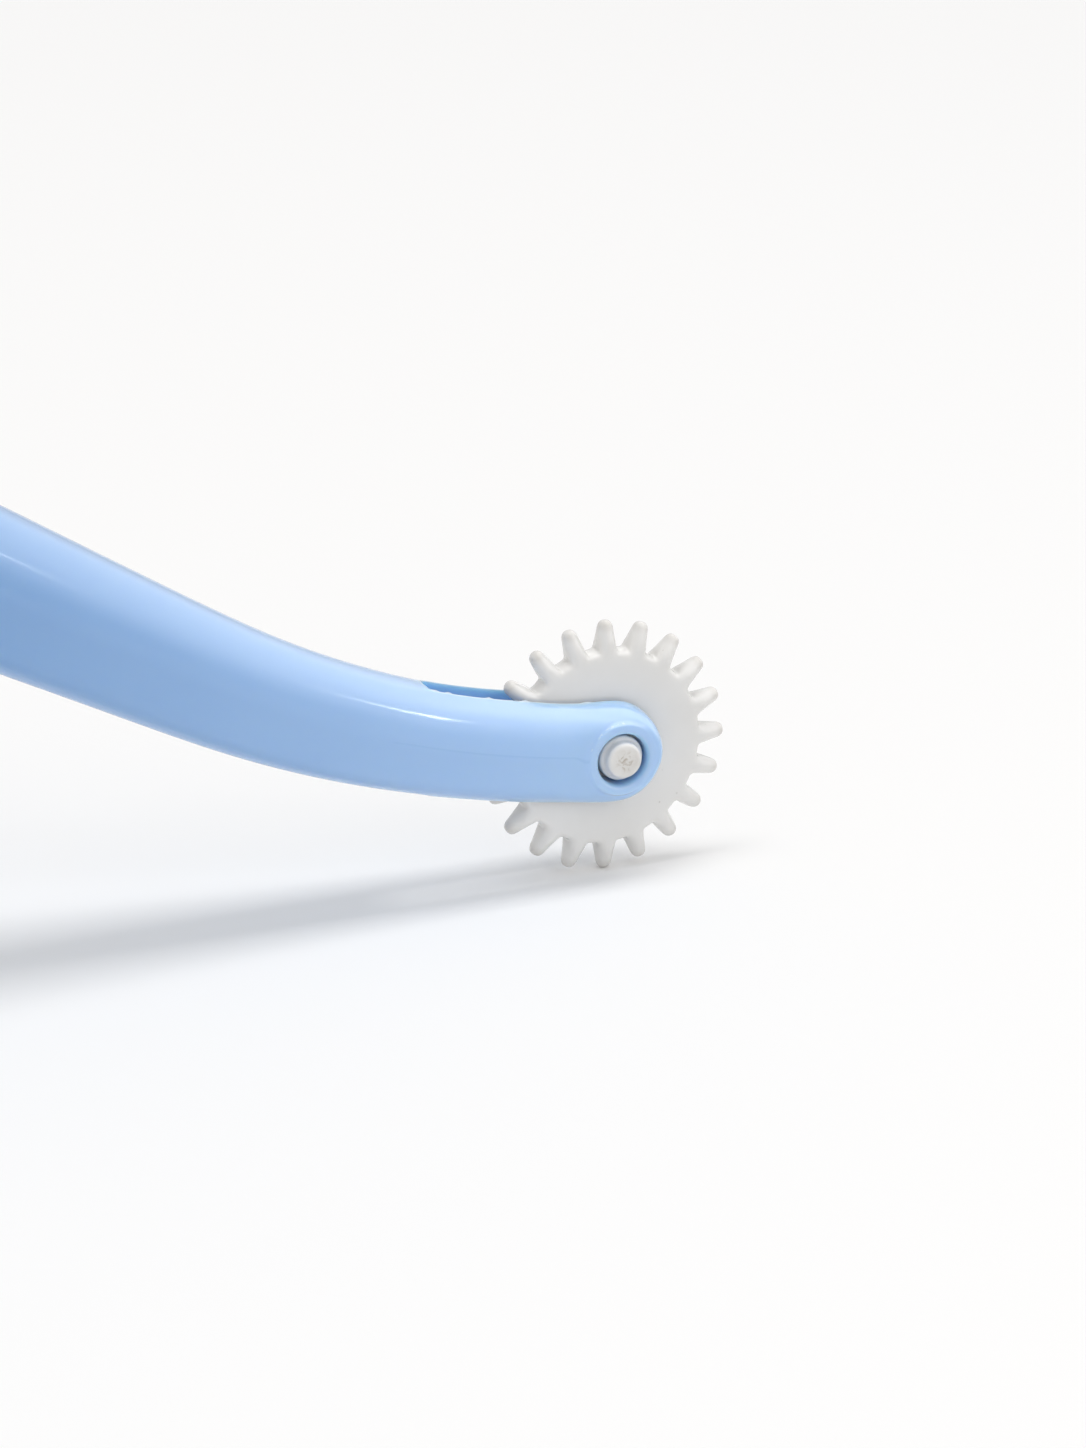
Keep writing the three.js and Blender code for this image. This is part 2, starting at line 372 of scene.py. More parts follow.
def lay_station(along, turns, bow=0):
    """Draws the selected row out to a station of the handle, which may bow forwards at its ends."""
    bpy.ops.mesh.extrude_edges_move()
    cage = open_cage()
    row = selected_vertices(cage)
    middle = sum(vertex.co.z for vertex in row) / len(row)
    row.sort(key=lambda vertex: math.atan2(middle - vertex.co.z, -vertex.co.y))
    for vertex, turn in zip(row, turns):
        vertex.co = skin_point(along - bow * math.sin(turn) ** 2, turn)
    if along <= slot_depth:
        row[0].co.y = row[-1].co.y = -slot_half
    bmesh.update_edit_mesh(bpy.context.object.data)


def from_axle(vertex):
    """Gives a vertex's distance from the axle, and its place forward along the fork."""
    arm = vertex.co - axle
    return math.hypot(arm.x, arm.z), arm.dot(fork_forward)


def on_bore_edge(edge):
    """Tells an open edge round the axle's bore."""
    return edge.is_boundary and all(from_axle(vertex)[0] < bore_search for vertex in edge.verts)


def mirror_half(piece):
    """Mirrors a finished near half across the middle plane, and points all faces outwards."""
    bpy.ops.object.modifier_add(type="MIRROR")
    mirror = piece.modifiers[-1]
    mirror.use_axis = (False, True, False)
    mirror.merge_threshold = 2 * weld_gap
    bpy.ops.object.modifier_apply(modifier=mirror.name)
    bpy.ops.object.mode_set(mode="EDIT")
    bpy.ops.mesh.select_all(action="SELECT")
    bpy.ops.mesh.normals_make_consistent(inside=False)
    bpy.ops.object.mode_set(mode="OBJECT")


def round_off(piece):
    """Rounds a cage off in two steps."""
    bpy.ops.object.modifier_add(type="SUBSURF")
    rounding = piece.modifiers[-1]
    rounding.levels = 2
    rounding.render_levels = 2
    bpy.ops.object.modifier_apply(modifier=rounding.name)


ring_corners = 16
corner_turn = math.radians(360 / ring_corners)
bore_search = 3 * mm
lip_start = 3.9 * mm
rim_radii = (4.6 * mm, 4.95 * mm, end_radius)
bpy.ops.mesh.primitive_circle_add(
    vertices=ring_corners, radius=bore_radius, location=axle, rotation=(math.radians(90), 0, 0)
)
handle = bpy.context.object
handle.name = "handle_moulding"
bpy.ops.object.transform_apply(location=True, rotation=True, scale=True)
bpy.ops.object.mode_set(mode="EDIT")
bpy.ops.mesh.select_mode(type="EDGE")
bpy.ops.mesh.select_all(action="SELECT")
lay_ring(bore_radius, lip_start)
bore_lip = (
    (2.59 * mm, 4.22 * mm),
    (2.69 * mm, 4.52 * mm),
    (2.95 * mm, 4.68 * mm),
    (3.20 * mm, ring_face),
    (3.46 * mm, ring_face),
    (ring_radius, ring_face - 0.03 * mm),
)
for radius, depth in bore_lip:
    bpy.ops.mesh.extrude_edges_move()
    lay_ring(radius, depth)
for radius in (ring_foot, cheek_ring):
    bpy.ops.mesh.extrude_edges_move()
    lay_ring(radius)


def on_front_edge(edge):
    """Tells the front half of the cage's outer edge."""
    places = [from_axle(vertex) for vertex in edge.verts]
    return edge.is_boundary and all(far > ring_radius and ahead > -hair for far, ahead in places)


pick_edges(on_front_edge)
for radius in rim_radii:
    bpy.ops.mesh.extrude_edges_move()
    lay_ring(radius)


def on_rear_edge(edge):
    """Tells the rear half of the cage's outer edge, with the two ends of the rim."""
    places = [from_axle(vertex) for vertex in edge.verts]
    return edge.is_boundary and all(far > ring_radius and ahead < hair for far, ahead in places)


pick_edges(on_rear_edge)
slot_edge_turn = math.acos((slot_half / (arm_girth[1] / 2)) ** (arm_squareness / 2))
upper_turns = [slot_edge_turn] + [math.radians(turn) for turn in (64, 53, 42.6, 33, 19.8, 5.7)]
arm_turns = upper_turns + [parting_turn] + [-turn for turn in reversed(upper_turns)]
head_station = 4.8 * mm
head_bow = 1.9 * mm
arm_stations = 13
station_step = 1.0 * mm
lay_station(head_station, arm_turns, head_bow)
for step in range(arm_stations):
    lay_station(head_station + (step + 1) * station_step, arm_turns)
lay_station(slot_depth, arm_turns)

bpy.ops.mesh.select_all(action="SELECT")
bpy.ops.mesh.duplicate()
bpy.ops.transform.resize(value=(1, 0, 1), center_override=(0, -slot_half, 0))
bpy.ops.mesh.flip_normals()


def at_slot_end(edge):
    """Tells an edge that lies in the plane of the slot's end."""
    corners = [vertex for vertex in edge.verts if abs(vertex.co.y + slot_half) < weld_gap]
    return len(corners) == 2 and all(from_axle(vertex)[1] < behind_slot for vertex in corners)


behind_slot = 0.5 * mm - slot_depth
pick_edges(at_slot_end)
bpy.ops.mesh.extrude_edges_move(TRANSFORM_OT_translate={"value": (0, slot_half, 0)})
bpy.ops.mesh.select_all(action="SELECT")
bpy.ops.mesh.remove_doubles(threshold=weld_gap)
pick_edges(on_bore_edge)
bpy.ops.mesh.bridge_edge_loops()


def on_grip_start(edge):
    """Tells the open edge that the grip goes on from, behind the slot."""
    behind = all(from_axle(vertex)[1] < behind_slot for vertex in edge.verts)
    on_middle = all(vertex.co.y > -weld_gap for vertex in edge.verts)
    return edge.is_boundary and behind and not on_middle


pick_edges(on_grip_start)
grip_turns = [math.radians(90)] + arm_turns + [math.radians(-90)]
grip_stations = (20.2, 23, 27.5, 32.5, 38, 44, 51, 59, 67, 75, 84, 94, 104, 114, 123, 130)
dome_shares = (0.15, 0.5, 0.75, 0.9, 0.975, 0.997)
for along in grip_stations:
    lay_station(along * mm, grip_turns)
for share in dome_shares:
    lay_station(dome_start + share * butt_round, grip_turns)
bpy.ops.mesh.extrude_edges_move()
bpy.ops.transform.resize(value=(1, 0, 1), center_override=(0, 0, 0))
bpy.ops.mesh.select_all(action="SELECT")
bpy.ops.mesh.remove_doubles(threshold=weld_gap)
bpy.ops.object.mode_set(mode="OBJECT")
mirror_half(handle)


def on_slot_edge(edge):
    """Tells the sharp edges of the slot: its rims, the corners of its end and the holes' inner edges."""
    if not all(abs(abs(vertex.co.y) - slot_half) < weld_gap for vertex in edge.verts):
        return False
    return edge.calc_face_angle(0) > slot_corner


slot_corner = math.radians(40)
slot_crease = 0.75
rim_line_lift = 4 * mm
rim_line_start = 1.5 * mm
bpy.ops.object.mode_set(mode="EDIT")
pick_edges(on_slot_edge)
bpy.ops.transform.edge_crease(value=slot_crease)
cage = open_cage()
cage.verts.layers.float.new("rim_line")
cage.verts.layers.float.new("mould_line")
cage = open_cage()
rim_line = cage.verts.layers.float["rim_line"]
for vertex in selected_vertices(cage):
    arm = vertex.co - axle
    if arm.dot(fork_up) > rim_line_lift and arm.dot(fork_forward) < -rim_line_start:
        vertex[rim_line] = 1
bmesh.update_edit_mesh(handle.data)


def on_parting_line(edge):
    """Tells the parting line along the middle of each cheek, from the ring to behind the slot."""
    ahead = [from_axle(vertex)[1] for vertex in edge.verts]
    if not all(-draft_end < place < -ring_radius for place in ahead):
        return False
    if not all(abs(vertex.co.y) > parting_depth for vertex in edge.verts):
        return False
    middle, up = spine_at(-sum(ahead) / 2)
    return all(abs((vertex.co - middle).dot(up)) < parting_band for vertex in edge.verts)


parting_depth = 4.5 * mm
parting_band = 0.5 * mm
parting_crease = 1
pick_edges(on_parting_line)
bpy.ops.transform.edge_crease(value=parting_crease)
cage = open_cage()
mould_line = cage.verts.layers.float["mould_line"]
for vertex in selected_vertices(cage):
    vertex[mould_line] = 1
bmesh.update_edit_mesh(handle.data)
bpy.ops.object.mode_set(mode="OBJECT")
round_off(handle)

flash_places = (18.4 * mm, 17.1 * mm, 13.0 * mm, 9.3 * mm, 2.9 * mm)
flash_height = 0.14 * mm
flash_half = 0.34 * mm
on_the_line = 0.99
smooth_below = math.radians(45)
bpy.ops.object.mode_set(mode="EDIT")
cage = open_cage()
rim_line = cage.verts.layers.float["rim_line"]
for vertex in cage.verts:
    behind = -(vertex.co - axle).dot(fork_forward)
    for place in flash_places:
        off = (behind - place) / flash_half
        if vertex[rim_line] > on_the_line and vertex.co.y < 0 and abs(off) < 1:
            vertex.co.z += flash_height * (1 - off * off)
bmesh.update_edit_mesh(handle.data)
bpy.ops.object.mode_set(mode="OBJECT")
bpy.ops.object.shade_smooth_by_angle(angle=smooth_below)

blue_grip_shaded = (0.235, 0.430, 0.735, 1)
blue_fork_lit = (0.420, 0.630, 0.935, 1)
ring_pale = (0.445, 0.640, 1.000, 1)
slot_painted_bounce = (0.390, 0.650, 1.000, 1)
pale_painted_highlight = (0.700, 0.830, 0.980, 1)
line_painted_shade = (0.260, 0.460, 0.760, 1)
highlight_arc_radius = 3.58 * mm
highlight_arc_way = (-0.50, 0, 0.866)
blue_plastic, blue_tree, blue_shader = new_material("blue_plastic_gloss")
blue_shader.inputs["Specular IOR Level"].default_value = 0.8
blue_shader.inputs["Subsurface Weight"].default_value = 0.8
blue_shader.inputs["Subsurface Radius"].default_value = (0.85, 0.85, 1.0)
blue_shader.inputs["Subsurface Scale"].default_value = 1.0 * mm
blue_shader.inputs["Sheen Weight"].default_value = 0.2
blue_shader.inputs["Sheen Roughness"].default_value = 0.35
blue_place = add_node(blue_tree, "ShaderNodeTexCoord")
blue_axes = add_node(blue_tree, "ShaderNodeSeparateXYZ")
# Painted light: the blue runs from a darker shade at the grip to a lighter one at the fork, standing in
# for more light falling on the fork. The noise adds a little random tone.
blue_lit_toward_fork = add_node(blue_tree, "ShaderNodeMapRange", From_Min=axle.x - 60 * mm, From_Max=axle.x)
blue_cloud = add_node(blue_tree, "ShaderNodeTexNoise", Scale=90.0, Detail=3.0)
blue_mix = add_node(blue_tree, "ShaderNodeMath", operation="MULTIPLY_ADD")
blue_mix.inputs[1].default_value = 0.12
blue_tone_and_painted_light = add_node(blue_tree, "ShaderNodeValToRGB")
blue_tone_and_painted_light.color_ramp.elements[0].position = 0.05
blue_tone_and_painted_light.color_ramp.elements[0].color = blue_grip_shaded
blue_tone_and_painted_light.color_ramp.elements[1].position = 1.05
blue_tone_and_painted_light.color_ramp.elements[1].color = blue_fork_lit
blue_peel = add_node(blue_tree, "ShaderNodeTexNoise", Scale=700.0, Detail=2.0)
blue_gloss = add_node(blue_tree, "ShaderNodeMapRange", To_Min=0.09, To_Max=0.14)
blue_bump = add_node(blue_tree, "ShaderNodeBump", Strength=0.12, Distance=0.03 * mm)
blue_tree.links.new(blue_place.outputs["Object"], blue_axes.inputs["Vector"])
blue_tree.links.new(blue_axes.outputs["X"], blue_lit_toward_fork.inputs["Value"])
blue_tree.links.new(blue_place.outputs["Object"], blue_cloud.inputs["Vector"])
blue_tree.links.new(blue_cloud.outputs["Fac"], blue_mix.inputs[0])
blue_tree.links.new(blue_lit_toward_fork.outputs["Result"], blue_mix.inputs[2])
blue_tree.links.new(blue_mix.outputs[0], blue_tone_and_painted_light.inputs["Fac"])
blue_ring = add_node(blue_tree, "ShaderNodeMapping", Location=-axle)
blue_ring_axes = add_node(blue_tree, "ShaderNodeSeparateXYZ")
blue_flat = add_node(blue_tree, "ShaderNodeCombineXYZ")
blue_far = add_node(blue_tree, "ShaderNodeVectorMath", operation="LENGTH")
# The flat ring round the hole is mixed paler than the rest of the blue.
blue_near = add_node(
    blue_tree, "ShaderNodeMapRange", interpolation_type="SMOOTHSTEP",
    From_Min=4.6 * mm, From_Max=2.7 * mm,
)
blue_out = add_node(blue_tree, "ShaderNodeMath", operation="ABSOLUTE")
blue_face = add_node(
    blue_tree, "ShaderNodeMapRange", interpolation_type="SMOOTHSTEP",
    From_Min=4.1 * mm, From_Max=4.6 * mm,
)
blue_ring_paler = add_node(blue_tree, "ShaderNodeMath", operation="MULTIPLY")
blue_pale = add_node(blue_tree, "ShaderNodeMix", data_type="RGBA", B=ring_pale)
blue_tree.links.new(blue_place.outputs["Object"], blue_ring.inputs["Vector"])
blue_tree.links.new(blue_ring.outputs["Vector"], blue_ring_axes.inputs["Vector"])
blue_tree.links.new(blue_ring_axes.outputs["X"], blue_flat.inputs["X"])
blue_tree.links.new(blue_ring_axes.outputs["Z"], blue_flat.inputs["Z"])
blue_tree.links.new(blue_flat.outputs["Vector"], blue_far.inputs[0])
blue_tree.links.new(blue_far.outputs["Value"], blue_near.inputs["Value"])
blue_tree.links.new(blue_ring_axes.outputs["Y"], blue_out.inputs[0])
blue_tree.links.new(blue_out.outputs[0], blue_face.inputs["Value"])
blue_tree.links.new(blue_near.outputs["Result"], blue_ring_paler.inputs[0])
blue_tree.links.new(blue_face.outputs["Result"], blue_ring_paler.inputs[1])
blue_tree.links.new(blue_ring_paler.outputs[0], blue_pale.inputs["Factor"])
blue_tree.links.new(blue_tone_and_painted_light.outputs["Color"], blue_pale.inputs["A"])
# Painted bounce light: the walls of the slot and the bore take a lighter, stronger blue, for the light
# that bounces between them and shines through the thin plastic.
blue_inner = add_node(
    blue_tree, "ShaderNodeMapRange", interpolation_type="SMOOTHSTEP",
    From_Min=slot_half + 0.25 * mm, From_Max=slot_half + 0.05 * mm,
)
blue_ahead = add_node(
    blue_tree, "ShaderNodeMapRange",
    From_Min=-slot_depth - 0.4 * mm, From_Max=-slot_depth + 0.2 * mm,
)
blue_inside = add_node(blue_tree, "ShaderNodeMath", operation="MULTIPLY")
blue_bore = add_node(
    blue_tree, "ShaderNodeMapRange",
    From_Min=bore_radius + bore_sink + 0.10 * mm, From_Max=bore_radius + bore_sink,
)
blue_hollow = add_node(blue_tree, "ShaderNodeMath", operation="MAXIMUM")
blue_bounce_lit = add_node(blue_tree, "ShaderNodeMix", data_type="RGBA", B=slot_painted_bounce)
# Painted highlight: a pale line along the slot's upper rims, where the light catches the sharp edge.
blue_rim = add_node(blue_tree, "ShaderNodeAttribute", attribute_name="rim_line")
blue_edge = add_node(blue_tree, "ShaderNodeMapRange", From_Min=0.62, From_Max=0.98)
blue_rim_highlighted = add_node(blue_tree, "ShaderNodeMix", data_type="RGBA", B=pale_painted_highlight)
# Painted highlight: broken pale strokes on an arc round the ring's upper-left edge, where the light
# catches it.
blue_ray = add_node(blue_tree, "ShaderNodeVectorMath", operation="NORMALIZE")
blue_corner = add_node(blue_tree, "ShaderNodeVectorMath", operation="DOT_PRODUCT")
blue_corner.inputs[1].default_value = highlight_arc_way
blue_quarter = add_node(blue_tree, "ShaderNodeMapRange", From_Min=0.70, From_Max=0.86, To_Max=0.75)
blue_off = add_node(blue_tree, "ShaderNodeMath", operation="SUBTRACT")
blue_off.inputs[1].default_value = highlight_arc_radius
blue_aside = add_node(blue_tree, "ShaderNodeMath", operation="ABSOLUTE")
blue_band = add_node(blue_tree, "ShaderNodeMapRange", From_Min=0.10 * mm, From_Max=0.03 * mm)
blue_arc_breaks = add_node(blue_tree, "ShaderNodeTexNoise", Scale=1700.0, Detail=2.0)
blue_arc_broken = add_node(blue_tree, "ShaderNodeMapRange", From_Min=0.50, From_Max=0.58)
blue_arc = add_node(blue_tree, "ShaderNodeMath", operation="MULTIPLY")
blue_highlight_arc = add_node(blue_tree, "ShaderNodeMath", operation="MULTIPLY")
blue_arc_highlighted = add_node(blue_tree, "ShaderNodeMix", data_type="RGBA", B=pale_painted_highlight)
# Painted shade: a darker line along the parting line on each cheek, where the crease turns the surface
# away from the light.
blue_seam = add_node(blue_tree, "ShaderNodeAttribute", attribute_name="mould_line")
blue_trace = add_node(blue_tree, "ShaderNodeMapRange", From_Min=0.80, To_Max=0.24)
blue_line_shaded = add_node(blue_tree, "ShaderNodeMix", data_type="RGBA", B=line_painted_shade)
blue_tree.links.new(blue_out.outputs[0], blue_inner.inputs["Value"])
blue_tree.links.new(blue_ring_axes.outputs["X"], blue_ahead.inputs["Value"])
blue_tree.links.new(blue_inner.outputs["Result"], blue_inside.inputs[0])
blue_tree.links.new(blue_ahead.outputs["Result"], blue_inside.inputs[1])
blue_tree.links.new(blue_far.outputs["Value"], blue_bore.inputs["Value"])
blue_tree.links.new(blue_inside.outputs[0], blue_hollow.inputs[0])
blue_tree.links.new(blue_bore.outputs["Result"], blue_hollow.inputs[1])
blue_tree.links.new(blue_hollow.outputs[0], blue_bounce_lit.inputs["Factor"])
blue_tree.links.new(blue_pale.outputs["Result"], blue_bounce_lit.inputs["A"])
blue_tree.links.new(blue_rim.outputs["Fac"], blue_edge.inputs["Value"])
blue_tree.links.new(blue_edge.outputs["Result"], blue_rim_highlighted.inputs["Factor"])
blue_tree.links.new(blue_bounce_lit.outputs["Result"], blue_rim_highlighted.inputs["A"])
blue_tree.links.new(blue_seam.outputs["Fac"], blue_trace.inputs["Value"])
blue_tree.links.new(blue_trace.outputs["Result"], blue_line_shaded.inputs["Factor"])
blue_tree.links.new(blue_flat.outputs["Vector"], blue_ray.inputs[0])
blue_tree.links.new(blue_ray.outputs["Vector"], blue_corner.inputs[0])
blue_tree.links.new(blue_corner.outputs["Value"], blue_quarter.inputs["Value"])
blue_tree.links.new(blue_far.outputs["Value"], blue_off.inputs[0])
blue_tree.links.new(blue_off.outputs[0], blue_aside.inputs[0])
blue_tree.links.new(blue_aside.outputs[0], blue_band.inputs["Value"])
blue_tree.links.new(blue_quarter.outputs["Result"], blue_arc.inputs[0])
blue_tree.links.new(blue_band.outputs["Result"], blue_arc.inputs[1])
blue_tree.links.new(blue_place.outputs["Object"], blue_arc_breaks.inputs["Vector"])
blue_tree.links.new(blue_arc_breaks.outputs["Fac"], blue_arc_broken.inputs["Value"])
blue_tree.links.new(blue_arc.outputs[0], blue_highlight_arc.inputs[0])
blue_tree.links.new(blue_arc_broken.outputs["Result"], blue_highlight_arc.inputs[1])
blue_tree.links.new(blue_highlight_arc.outputs[0], blue_arc_highlighted.inputs["Factor"])
blue_tree.links.new(blue_rim_highlighted.outputs["Result"], blue_arc_highlighted.inputs["A"])
blue_tree.links.new(blue_arc_highlighted.outputs["Result"], blue_line_shaded.inputs["A"])
blue_tree.links.new(blue_line_shaded.outputs["Result"], blue_shader.inputs["Base Color"])
blue_tree.links.new(blue_place.outputs["Object"], blue_peel.inputs["Vector"])
blue_tree.links.new(blue_cloud.outputs["Fac"], blue_gloss.inputs["Value"])
blue_tree.links.new(blue_gloss.outputs["Result"], blue_shader.inputs["Roughness"])
blue_tree.links.new(blue_peel.outputs["Fac"], blue_bump.inputs["Height"])
blue_tree.links.new(blue_bump.outputs["Normal"], blue_shader.inputs["Normal"])
handle.data.materials.append(blue_plastic)
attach(handle, "handle")
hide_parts("handle")

# Wheel: one moulding in off-white satin plastic, a flat disc with twenty tapered teeth that end in balls.
# The near face is drawn out from the bore ring by ring, the teeth all together, then the rim is drawn to
# the middle plane, mirrored and smoothed.
tooth_count = 20
wheel_half = 1.3 * mm
wheel_bore = 2.2 * mm
bore_chamfer = 0.2 * mm
face_rings = (2.4 * mm, 5.5 * mm, 7.9 * mm, 8.7 * mm, 9.34 * mm)
tooth_pitch = math.radians(360 / tooth_count)
columns_per_tooth = 10
flank_column = 2
mark_span = 2 * columns_per_tooth
ball_places = ((0.5, 0.88), (0.9, 0.46))
bpy.ops.object.select_all(action="DESELECT")
bpy.ops.mesh.primitive_circle_add(
    vertices=tooth_count * columns_per_tooth,
    radius=wheel_bore,
    location=axle,
    rotation=(math.radians(90), 0, 0),
)
wheel = bpy.context.object
wheel.name = "toothed_wheel"
bpy.ops.object.transform_apply(location=True, rotation=True, scale=True)


def tooth_place(vertex):
    """Gives a vertex's nearest tooth and its column across that tooth."""
    arm = vertex.co - axle
    turn = math.atan2(arm.x, arm.z)
    tooth = round(turn / tooth_pitch)
    column = round((turn / tooth_pitch - tooth) * columns_per_tooth)
    return tooth % tooth_count, column


def marked_place(vertex):
    """Gives the tooth and the column that a vertex was marked with."""
    tooth, mark = divmod(vertex[tooth_mark], mark_span)
    return tooth, mark - columns_per_tooth


def lay_round_row(radius, depth):
    """Places the selected row on a circle round the axle, at a distance off the middle plane."""
    cage = open_cage()
    for vertex in selected_vertices(cage):
        arm = vertex.co - axle
        arm.y = 0
        vertex.co = axle + arm.normalized() * radius + Vector((0, -depth, 0))
    bmesh.update_edit_mesh(bpy.context.object.data)


def tooth_ways(tooth):
    """Gives the ways outward along a tooth and sideways across it."""
    turn = tooth * tooth_pitch
    outward = Vector((math.sin(turn), 0, math.cos(turn)))
    return outward, Vector((math.cos(turn), 0, -math.sin(turn)))


def tooth_point(tooth, reach, across, depth):
    """Gives a point of a tooth by its distances from the axle, across the tooth and off the middle."""
    outward, sideways = tooth_ways(tooth)
    return axle + outward * reach + sideways * across + Vector((0, -depth, 0))


def lay_tooth_row(reach, half_width, half_depth, roundness, crown):
    """Places one row across every tooth, from a flat face with round edges to a round section."""
    cage = open_cage()
    boxed = ((half_width - edge_round, half_depth), (half_width, half_depth - edge_round))
    rounded = [(width * half_width, depth * half_depth) for width, depth in ball_places]
    places = [(0, half_depth)]
    for box, ball in zip(boxed, rounded):
        places.append(tuple(flat + (curved - flat) * roundness for flat, curved in zip(box, ball)))
    for vertex in selected_vertices(cage):
        tooth, column = marked_place(vertex)
        across, depth = places[min(abs(column), flank_column)]
        rise = crown * (1 - (across / half_width) ** 2)
        vertex.co = tooth_point(tooth, reach + rise, math.copysign(across, column), depth)
        vertex[tooth_half] = half_width
    bmesh.update_edit_mesh(wheel.data)


bpy.ops.object.mode_set(mode="EDIT")
bpy.ops.mesh.select_mode(type="EDGE")
bpy.ops.mesh.select_all(action="SELECT")
lay_round_row(wheel_bore, wheel_half - bore_chamfer)
for radius in face_rings:
    bpy.ops.mesh.extrude_edges_move()
    lay_round_row(radius, wheel_half)

gap_corner = (0.68 * mm, 9.80 * mm)
gap_side = (0.52 * mm, 9.62 * mm)
gap_middle = (0, 9.63 * mm)
root_reach = 10.20 * mm
root_half = 0.91 * mm
edge_round = 0.56 * mm
rim_round = 0.40 * mm
bpy.ops.mesh.extrude_edges_move()
cage = open_cage()
cage.verts.layers.int.new("tooth_mark")
cage.verts.layers.float.new("tooth_half")
cage = open_cage()
tooth_mark = cage.verts.layers.int["tooth_mark"]
tooth_half = cage.verts.layers.float["tooth_half"]
for vertex in selected_vertices(cage):
    tooth, column = tooth_place(vertex)
    vertex[tooth_mark] = tooth * mark_span + column + columns_per_tooth
    vertex[tooth_half] = root_half
    if abs(column) > flank_column:
        beside = tooth + math.copysign(0.5, column)
        across, reach = {3: gap_corner, 4: gap_side, 5: gap_middle}[abs(column)]
        vertex.co = tooth_point(beside, reach, -math.copysign(across, column), wheel_half - rim_round)
    else:
        across = {0: 0, 1: root_half - edge_round, 2: root_half}[abs(column)]
        depth = wheel_half - rim_round if abs(column) == flank_column else wheel_half
        vertex.co = tooth_point(tooth, root_reach, math.copysign(across, column), depth)
bmesh.update_edit_mesh(wheel.data)


def on_tooth_root(edge):
    """Tells the edges that the teeth grow from: the outer row between the two flanks of each tooth."""
    return edge.is_boundary and all(from_axle(vertex)[0] > root_search for vertex in edge.verts)


root_search = root_reach - 0.1 * mm
pick_edges(on_tooth_root)
tooth_rows = (
    (10.65 * mm, 0.91 * mm, 1.25 * mm, 0.6, 0),
    (11.15 * mm, 0.87 * mm, 1.09 * mm, 0.9, 0),
    (11.60 * mm, 0.81 * mm, 0.92 * mm, 1.0, 0),
    (12.02 * mm, 0.74 * mm, 0.77 * mm, 1.0, 0.06 * mm),
    (12.26 * mm, 0.56 * mm, 0.52 * mm, 1.0, 0.14 * mm),
)
for reach, half_width, half_depth, roundness, crown in tooth_rows:
    bpy.ops.mesh.extrude_edges_move()
    lay_tooth_row(reach, half_width, half_depth, roundness, crown)


def on_wheel_rim(edge):
    """Tells the open outer edge of the wheel's near face."""
    return edge.is_boundary and all(from_axle(vertex)[0] > bore_search for vertex in edge.verts)


pick_edges(on_wheel_rim)
bpy.ops.mesh.extrude_edges_move()
tip_row = 12.1 * mm
tip_swell = 0.12 * mm
rim_swell = 0.08 * mm
cage = open_cage()
tooth_mark = cage.verts.layers.int["tooth_mark"]
tooth_half = cage.verts.layers.float["tooth_half"]
for vertex in selected_vertices(cage):
    tooth, column = marked_place(vertex)
    outward, sideways = tooth_ways(tooth)
    arm = vertex.co - axle
    reach = arm.dot(outward)
    across = arm.dot(sideways)
    if abs(column) > flank_column:
        arm.y = 0
        vertex.co = axle + arm * (1 + rim_swell / arm.length)
    elif from_axle(vertex)[0] > tip_row:
        vertex.co = tooth_point(tooth, reach + tip_swell, across, 0)
    else:
        vertex.co = tooth_point(tooth, reach, math.copysign(vertex[tooth_half], column), 0)
bmesh.update_edit_mesh(wheel.data)
pick_edges(on_bore_edge)
bpy.ops.mesh.extrude_edges_move()
cage = open_cage()
for vertex in selected_vertices(cage):
    vertex.co.y = 0
bmesh.update_edit_mesh(wheel.data)
bpy.ops.object.mode_set(mode="OBJECT")
mirror_half(wheel)
round_off(wheel)
bpy.ops.object.shade_smooth()

wheel_dim = (0.795, 0.785, 0.765, 1)
wheel_light = (0.825, 0.818, 0.805, 1)
tip_tan_and_shade = (0.620, 0.590, 0.550, 1)
speck_grey = (0.650, 0.635, 0.610, 1)
wheel_plastic, wheel_tree, wheel_shader = new_material("wheel_plastic_satin")
wheel_shader.inputs["Specular IOR Level"].default_value = 0.5
wheel_shader.inputs["Subsurface Weight"].default_value = 0.3
wheel_shader.inputs["Subsurface Radius"].default_value = (1.0, 1.0, 1.0)
wheel_shader.inputs["Subsurface Scale"].default_value = 0.8 * mm
wheel_place = add_node(wheel_tree, "ShaderNodeTexCoord")
wheel_centre = add_node(wheel_tree, "ShaderNodeMapping", Location=-axle)
wheel_cloud = add_node(wheel_tree, "ShaderNodeTexNoise", Scale=160.0, Detail=3.0)
wheel_shades = add_node(wheel_tree, "ShaderNodeValToRGB")
wheel_shades.color_ramp.elements[0].position = 0.3
wheel_shades.color_ramp.elements[0].color = wheel_dim
wheel_shades.color_ramp.elements[1].position = 0.7
wheel_shades.color_ramp.elements[1].color = wheel_light
wheel_far = add_node(wheel_tree, "ShaderNodeVectorMath", operation="LENGTH")
